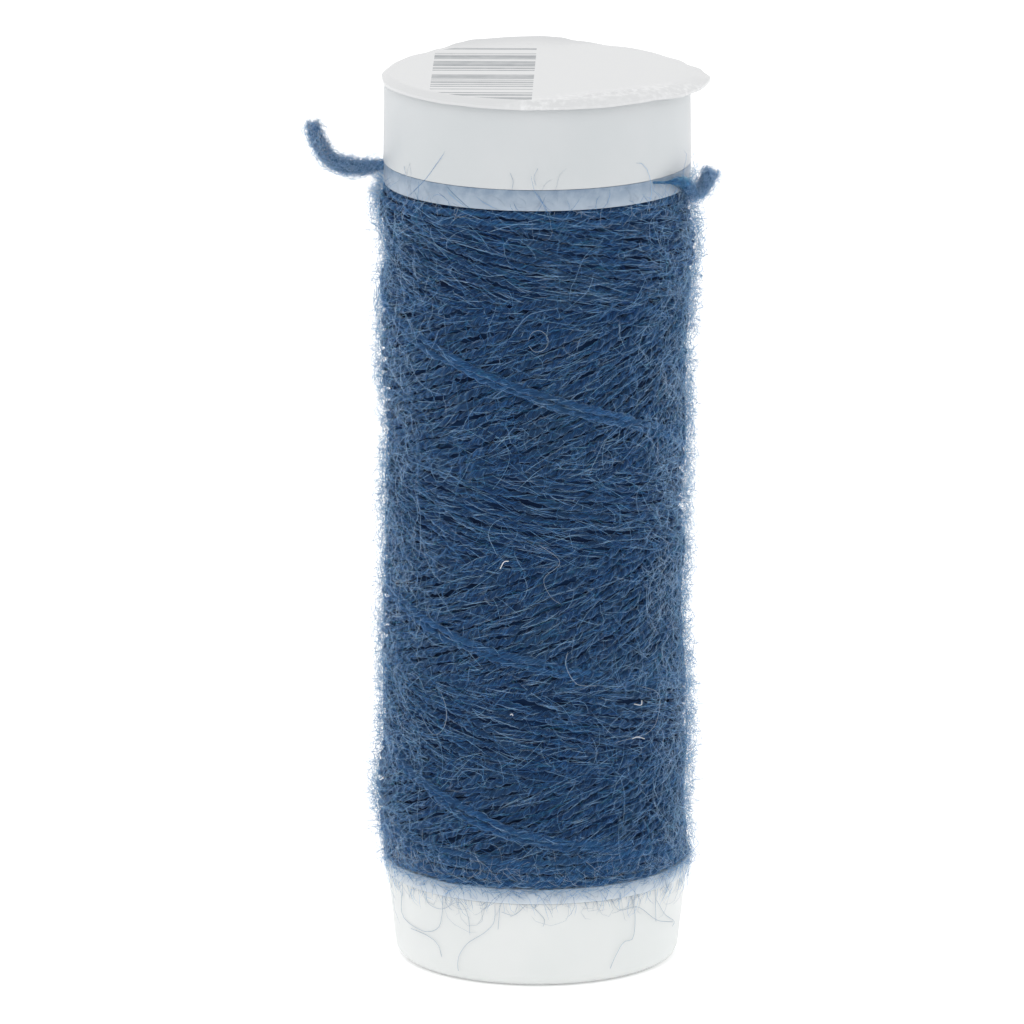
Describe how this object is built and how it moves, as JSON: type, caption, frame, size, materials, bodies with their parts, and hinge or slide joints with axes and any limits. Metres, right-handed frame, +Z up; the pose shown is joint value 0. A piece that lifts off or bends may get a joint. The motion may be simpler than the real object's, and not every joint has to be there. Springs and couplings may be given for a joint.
{
  "type": "spool of sock reinforcement yarn",
  "caption": "Small moulded spool with a lid and a base cup, wound with thin plied wool yarn, a loose length of it caught under the lid.",
  "frame": {"origin": "middle of the base cup's flat underside, on the axis of the spool", "axes": "+Z up along the spool's axis, -Y towards the front, +X to the right of someone who looks at the front"},
  "size_m": [0.0293, 0.0231, 0.0654],
  "materials": {
    "moulded_white": "satin",
    "moulded_milky": "satin",
    "sticker_film": "satin",
    "wool_yarn": "matte"
  },
  "bodies": {
    "root": {"base_cup": "moulded_white", "spool": "moulded_milky", "lid": "moulded_white", "label": "sticker_film", "yarn_body": "wool_yarn", "yarn_tail": "wool_yarn"}
  },
  "joints": []
}
